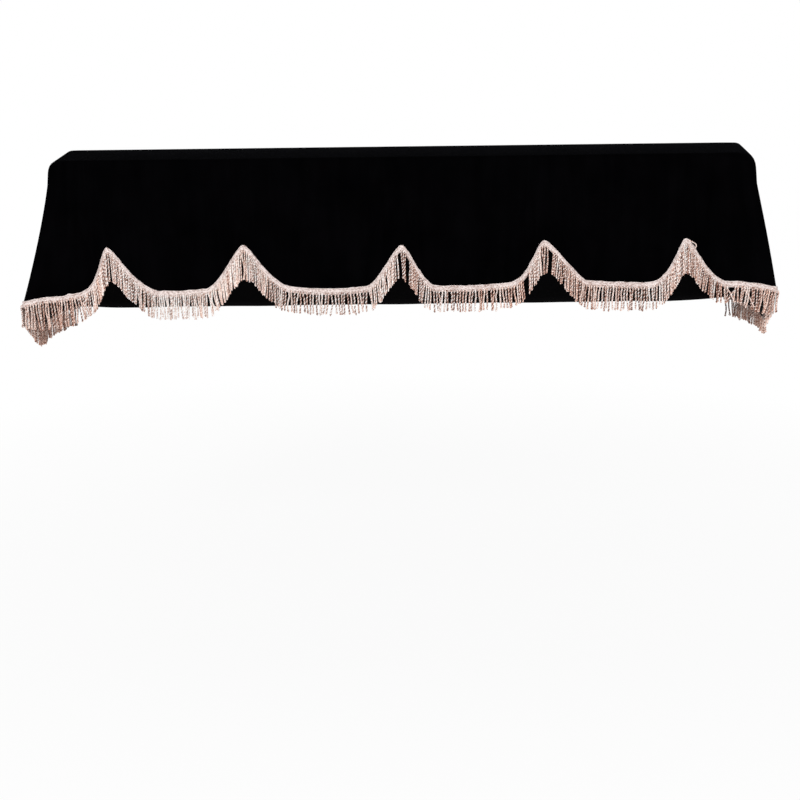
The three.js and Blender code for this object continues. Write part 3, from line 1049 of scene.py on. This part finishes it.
class Rail:
    """Places along the fringed hem, with the way down, the way out and the way along at each."""

    def __init__(self, hang: Hang, places: Array, lean: float = 0.0, depth: float = 10.0) -> None:
        """Reads the hem at the given places.

        Args:
            hang: the fringed stretch.
            places: distances along its hem.
            lean: how far cords turn from plumb to square to the hem.
            depth: how far below the hem the way down is taken.
        """
        self.places = places
        line = hang.at(1.0)
        along, down = np.gradient(line, axis=0), (hang.below(depth) - line) / depth
        rows = (line, down, unit(np.cross(down, along)), along, hang.ways(lean))
        self.line, self.down, out, along, self.way = (read(places, hang.place, each) for each in rows)
        self.out, self.along = unit(out), unit(along)

    def beside(self, below: Array, off: Array) -> Array:
        """Returns points below the hem line and off the middle of the cloth, a row for each place."""
        ways = ((self.down, below), (self.out, off))
        return self.line[:, None] + sum(way[:, None] * np.atleast_2d(far)[..., None] for way, far in ways)


@dataclass
class FringeHeading:
    """The woven heading: a roped rim, a ribbed band and the thin foot that the cords lie over."""

    layout: FringeLayout
    width: float = 14.0
    rim: float = 3.4
    rim_height: float = 1.7
    band_end: float = 10.0
    band_height: float = 1.5
    band_swell: float = 0.4
    foot_height: float = 1.1
    foot_taper: float = 1.5
    foot_edge: float = 0.5
    clear: float = 0.15
    step: float = 0.7
    rope_pitch: float = 3.1
    rope_lay: float = 3.6
    rope_depth: float = 0.42
    weft_pitch: float = 4.2
    weft_depth: float = 0.30
    weft_point: float = 0.45
    front_points: int = 17
    back_shares: tuple[float, ...] = (0.97, 0.66, 0.34, 0.03)
    edge_wander: float = 0.8
    end_turn: float = 6.0
    piece: Optional[Piece] = field(default=None, init=False)

    def face(self, below: Array) -> Array:
        """Returns the height of the face off the cloth, at depths below the hem line."""
        centre = self.rim / 2
        round_rim = np.sqrt(np.clip(1 - ((below - centre) / centre) ** 2, 0, 1))
        rope = self.foot_height + self.rim_height * round_rim
        share = (below - self.rim) / (self.band_end - self.rim)
        band = self.band_height + self.band_swell * np.abs(np.sin(math.tau * np.clip(share, 0, 1)))
        worn = smooth_step((below - self.width + self.foot_taper) / self.foot_taper)
        foot = self.foot_height - self.foot_edge * worn
        return np.where(below < self.rim, rope, np.where(below < self.band_end, band, foot))

    def build(self) -> Piece:
        """Returns the heading, swept along the fringed hem."""
        hang = self.layout.hang
        places = np.linspace(0, hang.place[-1], round(hang.place[-1] / self.step) + 1)
        rail, along = Rail(hang, places), places[:, None]
        front = np.linspace(0, self.width, self.front_points)
        back = np.array(self.back_shares) * self.width
        below = np.concatenate([front, back])
        face = np.concatenate([np.ones(len(front)), np.zeros(len(back))])
        height = np.concatenate([self.face(front), np.zeros(len(back))])
        rope = self.rope_depth * np.cos(math.tau * (along / self.rope_pitch + below / self.rope_lay))
        zigzag = np.abs(below / self.width - self.weft_point) * 2
        weft = self.weft_depth * np.cos(math.tau * (along / self.weft_pitch + zigzag))
        worked = np.where(below < self.rim, rope, weft * (below < self.band_end))
        wander = self.edge_wander * soft_noise(places, 9.0, 3)[:, None] * (1 - below / self.width)
        wander = wander + 0.25 * rope * (below < 1.0)
        ends = np.minimum(along, along[-1] - along) / self.end_turn
        lift = (height + face * worked) * (0.45 + 0.55 * smooth_step(ends))
        lift = lift + self.layout.drape.cloth / 2 + self.clear
        uvs = np.stack(np.broadcast_arrays(along, below), axis=-1) * METRE
        mesh = Mesh()
        points = rail.beside(below + wander, lift)
        numbers = mesh.add_points(points, uvs, tone=self.tone(rail, below, face))
        mesh.add_grid(numbers[:, ::-1], (False, True))
        mesh.add_faces(numbers[0])
        mesh.add_faces(numbers[-1, ::-1])
        self.piece = mesh.make("woven_heading")
        return self.piece

    def tone(self, rail: Rail, below: Array, face: Array) -> Array:
        """Returns how pale the heading is, with painted shade in each groove, between the cords' tops and on
        its back against the cloth.
        """
        # Painted shade along the groove at the rim's edge and the one at the band's end.
        groove_shade = sum(np.exp(-(((below - groove) / 0.7) ** 2)) for groove in (self.rim, self.band_end))
        nearest = np.abs(rail.places[:, None] - self.layout.places).min(axis=1)
        # Painted shade between the cords' tops below the band, stronger where the hem slopes.
        between = smooth_step(nearest / 2.6)[:, None] * smooth_step((below - self.band_end) / 1.0)
        between = between * np.clip(np.linalg.norm(rail.down, axis=1) - 0.9, 0.1, 0.5)[:, None]
        slow = 0.10 * soft_noise(rail.places, 14.0, 5) + 0.12 * soft_noise(rail.places, 5.0, 6)
        # Painted shade on the back, where the heading lies against the cloth; the slow change along the hem
        # is the braid's own.
        return 0.95 + slow[:, None] - 0.16 * groove_shade - between - 0.5 * (1 - face)

    def dress(self) -> None:
        """Gives the heading its finish and puts it in place of the CAD strip."""
        self.piece.data.materials.append(Braid().material())
        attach(self.piece, "root")
        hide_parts("fringe_heading")


class Cords(NamedTuple):
    """Cords in a row, with an entry for each.

    `rail` is where they leave the hem, `free` their lengths, `swing` how far their ends swing along
    the hem, `forward` how far those stand off the cloth, and `tone` and `warmth` how pale and ruddy
    they are, from 0 to 1.
    """

    rail: Rail
    free: Array
    swing: Array
    forward: Array
    tone: Array
    warmth: Array


@dataclass
class CordRun:
    """The fringe's cords: each is one thread doubled on itself and twisted, with an eye at its end."""

    layout: FringeLayout
    heading_width: float = 14.0
    root_depth: float = 9.2
    length: float = 41.0
    ply: float = 1.08
    turn: float = 0.95
    twist: float = 7.6
    tightness: tuple[float, float] = (0.85, 1.2)
    eye: tuple[float, float] = (1.0, 1.9)
    eye_start: float = 0.9
    eye_turns: tuple[float, ...] = (30.0, 60.0, 90.0, 120.0, 150.0)
    stations: int = 46
    sides: int = 6
    lean: float = 0.12
    held: float = 5.0
    freed: float = 12.0
    layer: tuple[float, float] = (-0.5, 1.0)
    layer_start: float = 8.0
    foot_clear: float = 1.9
    foot_rise: float = 1.5
    foot_start: float = 1.8
    foot_end: float = 14.0
    bend: float = 0.9
    longer: Uneven = Uneven(0, 1.8, 1.2, 31, 31)
    swing: Uneven = Uneven(0, 1.2, 4.2, 12, 41)
    forward: Uneven = Uneven(0, 1.0, 1.2, 22, 51)
    paler: Uneven = Uneven(0.06, 0.18, 0, 1, 0)
    ruddier: Uneven = Uneven(-0.1, 0.25, 0.3, 40, 61)
    stray_tone: float = 0.82
    stray_warmth: float = 0.3
    darker_ply: tuple[float, float] = (0.15, 0.75)
    # Painted light: the cords' tops, just under the heading, are made paler where its edge shades them.
    root_light: float = 0.15
    # crown_light lifts every side of the cords; the next field is painted shade on the side of each ply that
    # faces the other, where the plies shade each other.
    crown_light: float = 0.27
    painted_hollow_shade: float = 0.70
    tip_warmth: float = 0.25
    sections: int = 4
    seed: int = 7
    pieces: list[Piece] = field(default_factory=list, init=False)

    def __post_init__(self) -> None:
        """Sets out the sides of a thread and the stations of a cord."""
        self.around = math.tau * np.arange(self.sides) / self.sides
        self.shares = np.linspace(0, 1, self.stations)

    def build(self) -> list[Piece]:
        """Returns the cords, joined into a few pieces from the left end to the right."""
        for number, chosen in enumerate(np.array_split(np.arange(len(self.layout.places)), self.sections)):
            mesh = Mesh()
            self.hang_cords(mesh, chosen, self.seed + number)
            self.pieces.append(mesh.make(f"bullion_cords_{number + 1}"))
        mesh = Mesh()
        self.hang_strays(mesh)
        self.raise_loop(mesh, LOOSE_LOOP)
        self.pieces.append(mesh.make("bullion_strays"))
        return self.pieces

    def hang_cords(self, mesh: Mesh, chosen: Array, seed: int) -> None:
        """Adds the chosen cords of the layout.

        Args:
            mesh: the piece under construction.
            chosen: the cords' numbers in the layout.
            seed: makes this piece's cords differ from the next one's.
        """
        rng, layout = np.random.default_rng(seed), self.layout
        places, station = layout.places[chosen], layout.station[chosen]
        kinds = (self.longer, self.swing, self.forward, self.paler, self.ruddier)
        longer, swing, forward, paler, ruddier = (kind.values(places, rng) for kind in kinds)
        rail = Rail(layout.hang, places, self.lean)
        under_heading = (self.heading_width - self.root_depth) * np.linalg.norm(rail.down, axis=1)
        free = self.length + under_heading + layout.stretch(station, "longer")
        free = free + layout.gathered[chosen] + longer
        tone = layout.stretch(station, "tone") + paler
        warmth = layout.stretch(station, "warmth") + ruddier
        self.twist_pairs(mesh, Cords(rail, free, swing, forward, tone, warmth), rng)

    def hang_strays(self, mesh: Mesh) -> None:
        """Adds the loose cords, which stand a little off the rest."""
        rail = Rail(self.layout.hang, self.layout.strays)
        swing, forward, free = columns(STRAYS, "swing", "forward", "length")
        tone, warmth = (np.full(len(free), value) for value in (self.stray_tone, self.stray_warmth))
        rng = np.random.default_rng(self.seed + self.sections)
        self.twist_pairs(mesh, Cords(rail, free, swing, forward, tone, warmth), rng)

    def raise_loop(self, mesh: Mesh, loop: Loop) -> None:
        """Adds a thread that has worked loose from the heading's rim and stands off it."""
        t = self.shares
        rail = Rail(self.layout.hang, self.layout.loop + loop.reach * np.sin(2.1 * t))
        off = self.layout.drape.cloth / 2 + 1.6 + 1.2 * np.sin(math.pi * t)
        above = loop.rise * np.sin(math.pi * t**1.3) - 1.7
        path = rail.line - unit(rail.down) * above[:, None] + rail.out * off[:, None]
        radial = np.cross(unit(np.gradient(path, axis=0)), rail.out)
        run = 2 * loop.reach * t
        self.lay_threads(mesh, path[None], radial[None], loop.thickness / 2, run[None], 0.86, 0.4)

    def centre(self, cords: Cords, rng: Random) -> Array:
        """Returns the cords' centre lines, slightly bent: cords first, then stations down the cord."""
        rail, t, each = cords.rail, self.shares, (len(cords.free), 1)
        down = cords.free[:, None] * t
        rise = smooth_step(down / self.foot_start) - smooth_step((down - self.held) / self.foot_end)
        layer = self.foot_clear + self.foot_rise * rise
        layer = layer + rng.uniform(*self.layer, each) * smooth_step(down / self.layer_start)
        off = self.layout.drape.cloth / 2 + layer + cords.forward[:, None] * t**1.3
        bend = rng.normal(0, self.bend, each) * np.sin(math.pi * t * 1.6 + rng.uniform(0, 3, each))
        aside = (cords.swing[:, None] * t**1.2 + bend) * smooth_step((down - self.held) / self.freed)
        root = rail.line + rail.down * self.root_depth
        ways = ((rail.way, down), (rail.along, aside), (rail.out, off))
        return root[:, None] + sum(way[:, None] * far[..., None] for way, far in ways)

    def twist_pairs(self, mesh: Mesh, cords: Cords, rng: Random) -> None:
        """Winds two plies round each centre line and joins them in an eye at the bottom.

        Args:
            mesh: the piece under construction.
            cords: the cords.
            rng: the source of their bends and of the twists' phases.
        """
        centre, t, each = self.centre(cords, rng), self.shares, (len(cords.free), 1)
        phase, tight = rng.uniform(0, math.tau, each), rng.uniform(*self.tightness, each)
        angle = (phase + math.tau * t * cords.free[:, None] / (self.twist * tight))[..., None]
        spoke = np.cos(angle) * cords.rail.along[:, None] + np.sin(angle) * cords.rail.out[:, None]
        opening = smooth_step((t - self.eye_start) / (1 - self.eye_start))
        opening = opening * (rng.uniform(*self.eye, each) - self.turn)
        reach = (self.turn * (0.7 + 0.3 * smooth_step(t / 0.15)) + opening)[..., None]
        end_way = unit(centre[:, -1] - centre[:, -3])
        bend = np.radians(self.eye_turns)[:, None]
        tip = np.cos(bend) * spoke[:, -1:] + np.sin(bend) * end_way[:, None]
        wound = spoke * reach
        ends = centre[:, -1:] + tip * reach[:, -1:]
        path = np.concatenate([centre + wound, ends, (centre - wound)[:, ::-1]], axis=1)
        radial = np.concatenate([spoke, tip, -spoke[:, ::-1]], axis=1)
        steps = np.linalg.norm(np.diff(path, axis=1, prepend=path[:, :1]), axis=-1)
        run = np.cumsum(steps, axis=1) + rng.uniform(0, 90, each)
        share = np.concatenate([t, np.ones(len(bend)), t[::-1]])
        second_ply = smooth_step((np.arange(len(share)) - len(t)) / len(bend))
        darker = rng.uniform(*self.darker_ply, each) * second_ply
        # Painted light on the cords' tops, where the heading's edge shades them.
        root_light = self.root_light * (1 - smooth_step((share - 0.06) / 0.10))
        # Painted shade: each ply darker on the side that faces the other ply.
        painted_hollow = self.painted_hollow_shade * ((1 - np.cos(self.around)) / 2) ** 1.3
        tone = (cords.tone[:, None] + root_light - darker)[..., None] + self.crown_light - painted_hollow
        warmth = (cords.warmth[:, None] + self.tip_warmth * smooth_step((share - 0.6) / 0.4))[..., None]
        self.lay_threads(mesh, path, radial, self.ply, run, tone, warmth)

    def lay_threads(
        self, mesh: Mesh, path: Array, radial: Array, radius: float, run: Array, tone: Array, warmth: Array
    ) -> None:
        """Adds round threads.

        Args:
            mesh: the piece under construction.
            path: their middle lines, threads first, then stations.
            radial: a way out from each point of those.
            radius: half their thickness.
            run: how far along its thread each station is.
            tone: how pale they are, from 0 to 1, by thread, station and side.
            warmth: how ruddy, in the same way.
        """
        tangent = unit(np.gradient(path, axis=1))
        first = unit(radial - tangent * np.sum(radial * tangent, axis=-1, keepdims=True))
        second = np.cross(tangent, first)
        cosines, sines = np.cos(self.around)[:, None], np.sin(self.around)[:, None]
        points = path[:, :, None] + (cosines * first[:, :, None] + sines * second[:, :, None]) * radius
        uvs = np.stack(np.broadcast_arrays(self.around * radius, run[..., None]), axis=-1) * METRE
        numbers = mesh.add_points(points, uvs, tone=np.clip(tone, 0, 1), warmth=np.clip(warmth, 0, 1))
        mesh.add_grid(numbers, (False, True))
        mesh.add_faces(numbers[:, 0, ::-1])
        mesh.add_faces(numbers[:, -1])

    def dress(self) -> None:
        """Gives the cords their finish and puts them in place of the CAD comb."""
        material = TwistedCord().material()
        for piece in self.pieces:
            piece.data.materials.append(material)
            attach(piece, "root")
            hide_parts("fringe_cords")


# ---- The studio ----------------------------------------------------------------------------------


class Softbox(NamedTuple):
    """A soft lamp: where it stands, what it looks at, its sides in metres and its power."""

    name: str
    place: tuple[float, float, float]
    target: tuple[float, float, float]
    size: tuple[float, float]
    power: float


SOFTBOXES = (
    Softbox("key_softbox", (-1.5, -3.4, 1.9), (0.0, 0.0, -0.15), (1.0, 0.8), 140.0),
    Softbox("fill_softbox", (2.2, -3.0, 0.9), (0.1, 0.0, -0.2), (1.0, 1.0), 52.0),
    Softbox("top_softbox", (0.0, 0.6, 2.6), (0.0, 0.0, 0.0), (2.6, 1.2), 8.0),
)


@dataclass
class Studio:
    """A pale floor, a white surround, soft lamps and the camera."""

    eye: tuple[float, float, float] = (-0.0068, -3.188, 0.351)
    pitch_deg: float = 15.775
    roll_deg: float = -0.70
    lens_mm: float = 66.69
    sensor_mm: float = 36.0
    floor_height: float = -1.1
    floor_side: float = 40.0
    floor_fade: tuple[float, float] = (1.0, 2.6)
    floor_glow: float = 0.90
    surround: float = 0.14

    def build(self) -> None:
        """Makes the floor, the surround, the lamps and the camera."""
        self.lay_floor()
        self.light_surround()
        for softbox in SOFTBOXES:
            self.hang_softbox(softbox)
        self.place_camera()

    def seen(self, shader: Shader) -> Socket:
        """Returns 1 where the eye or a mirror looks straight at the background."""
        path = shader.node("LightPath").outputs
        mirror = shader.math("MAXIMUM", path["Is Glossy Ray"], path["Is Transmission Ray"])
        return shader.math("MAXIMUM", path["Is Camera Ray"], mirror)

    def lay_floor(self) -> None:
        """Lays a plain pale floor that keeps the cover's shadow."""
        bpy.ops.object.select_all(action="DESELECT")
        bpy.ops.mesh.primitive_plane_add(size=self.floor_side, location=(0, 0, self.floor_height))
        floor = bpy.context.object
        floor.name = "studio_floor"
        bpy.ops.object.transform_apply(location=True, rotation=False, scale=False)
        material = bpy.data.materials.new("pale_floor")
        material.use_nodes = True
        shader = Shader(material.node_tree)
        paint = shader.node("BsdfDiffuse", Color=(0.85, 0.85, 0.85, 1.0))
        glow = shader.node("Emission", Color=(1.0, 1.0, 1.0, 1.0), Strength=1.0)
        place = shader.node("TexCoord").outputs["Object"]
        away = shader.node("VectorMath", {"operation": "LENGTH"}, in0=place).outputs["Value"]
        whiter = shader.spread(away, self.floor_glow, 1.0, *self.floor_fade)
        share = shader.math("MULTIPLY", self.seen(shader), whiter)
        mix = shader.node("MixShader", in0=share, in1=paint.outputs[0], in2=glow.outputs[0])
        shader.node("OutputMaterial", Surface=mix.outputs[0])
        floor.data.materials.append(material)

    def light_surround(self) -> None:
        """Sets a soft even surround that looks white to the eye."""
        world = bpy.data.worlds.new("studio_surround")
        world.use_nodes = True
        bpy.context.scene.world = world
        shader = Shader(world.node_tree)
        strength = shader.math("MULTIPLY_ADD", self.seen(shader), 1.0 - self.surround, self.surround)
        glow = shader.node("Background", Color=(1.0, 1.0, 1.0, 1.0), Strength=strength)
        shader.node("OutputWorld", Surface=glow.outputs[0])

    def hang_softbox(self, softbox: Softbox) -> None:
        """Hangs one soft lamp and aims it."""
        bpy.ops.object.light_add(type="AREA", location=softbox.place)
        lamp = bpy.context.object
        lamp.name = softbox.name
        lamp.data.shape = "RECTANGLE"
        lamp.data.size, lamp.data.size_y = softbox.size
        lamp.data.energy = softbox.power
        aim = Vector(softbox.target) - Vector(softbox.place)
        lamp.rotation_euler = aim.to_track_quat("-Z", "Y").to_euler()

    def place_camera(self) -> None:
        """Sets the camera at its viewing angle."""
        data = bpy.data.cameras.new("studio_camera")
        data.sensor_width = self.sensor_mm
        data.lens = self.lens_mm
        data.clip_end = 60.0
        camera = bpy.data.objects.new("studio_camera", data)
        bpy.context.scene.collection.objects.link(camera)
        tilt = Matrix.Rotation(math.radians(90 - self.pitch_deg), 4, "X")
        roll = Matrix.Rotation(math.radians(self.roll_deg), 4, "Z")
        camera.matrix_world = Matrix.Translation(self.eye) @ tilt @ roll
        bpy.context.scene.camera = camera


def report(piece: Piece) -> None:
    """Logs a piece's size and triangles."""
    piece.data.calc_loop_triangles()
    LOG.info("%s: %d triangles, %s", piece.name, len(piece.data.loop_triangles), tuple(piece.dimensions))


def main() -> None:
    """Builds and dresses the cover, then sets the studio round it."""
    logging.basicConfig(level=logging.INFO, format="%(message)s")
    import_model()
    bpy.context.scene.view_settings.view_transform = "Standard"
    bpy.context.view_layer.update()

    drape = Drape()
    cloth = CoverCloth(drape)
    layout = FringeLayout(drape)
    heading = FringeHeading(layout)
    cords = CordRun(layout)
    report(cloth.build())
    report(heading.build())
    for piece in cords.build():
        report(piece)
    for part in (cloth, heading, cords):
        part.dress()
    Studio().build()

    bpy.context.view_layer.update()


if __name__ == "__main__":
    main()
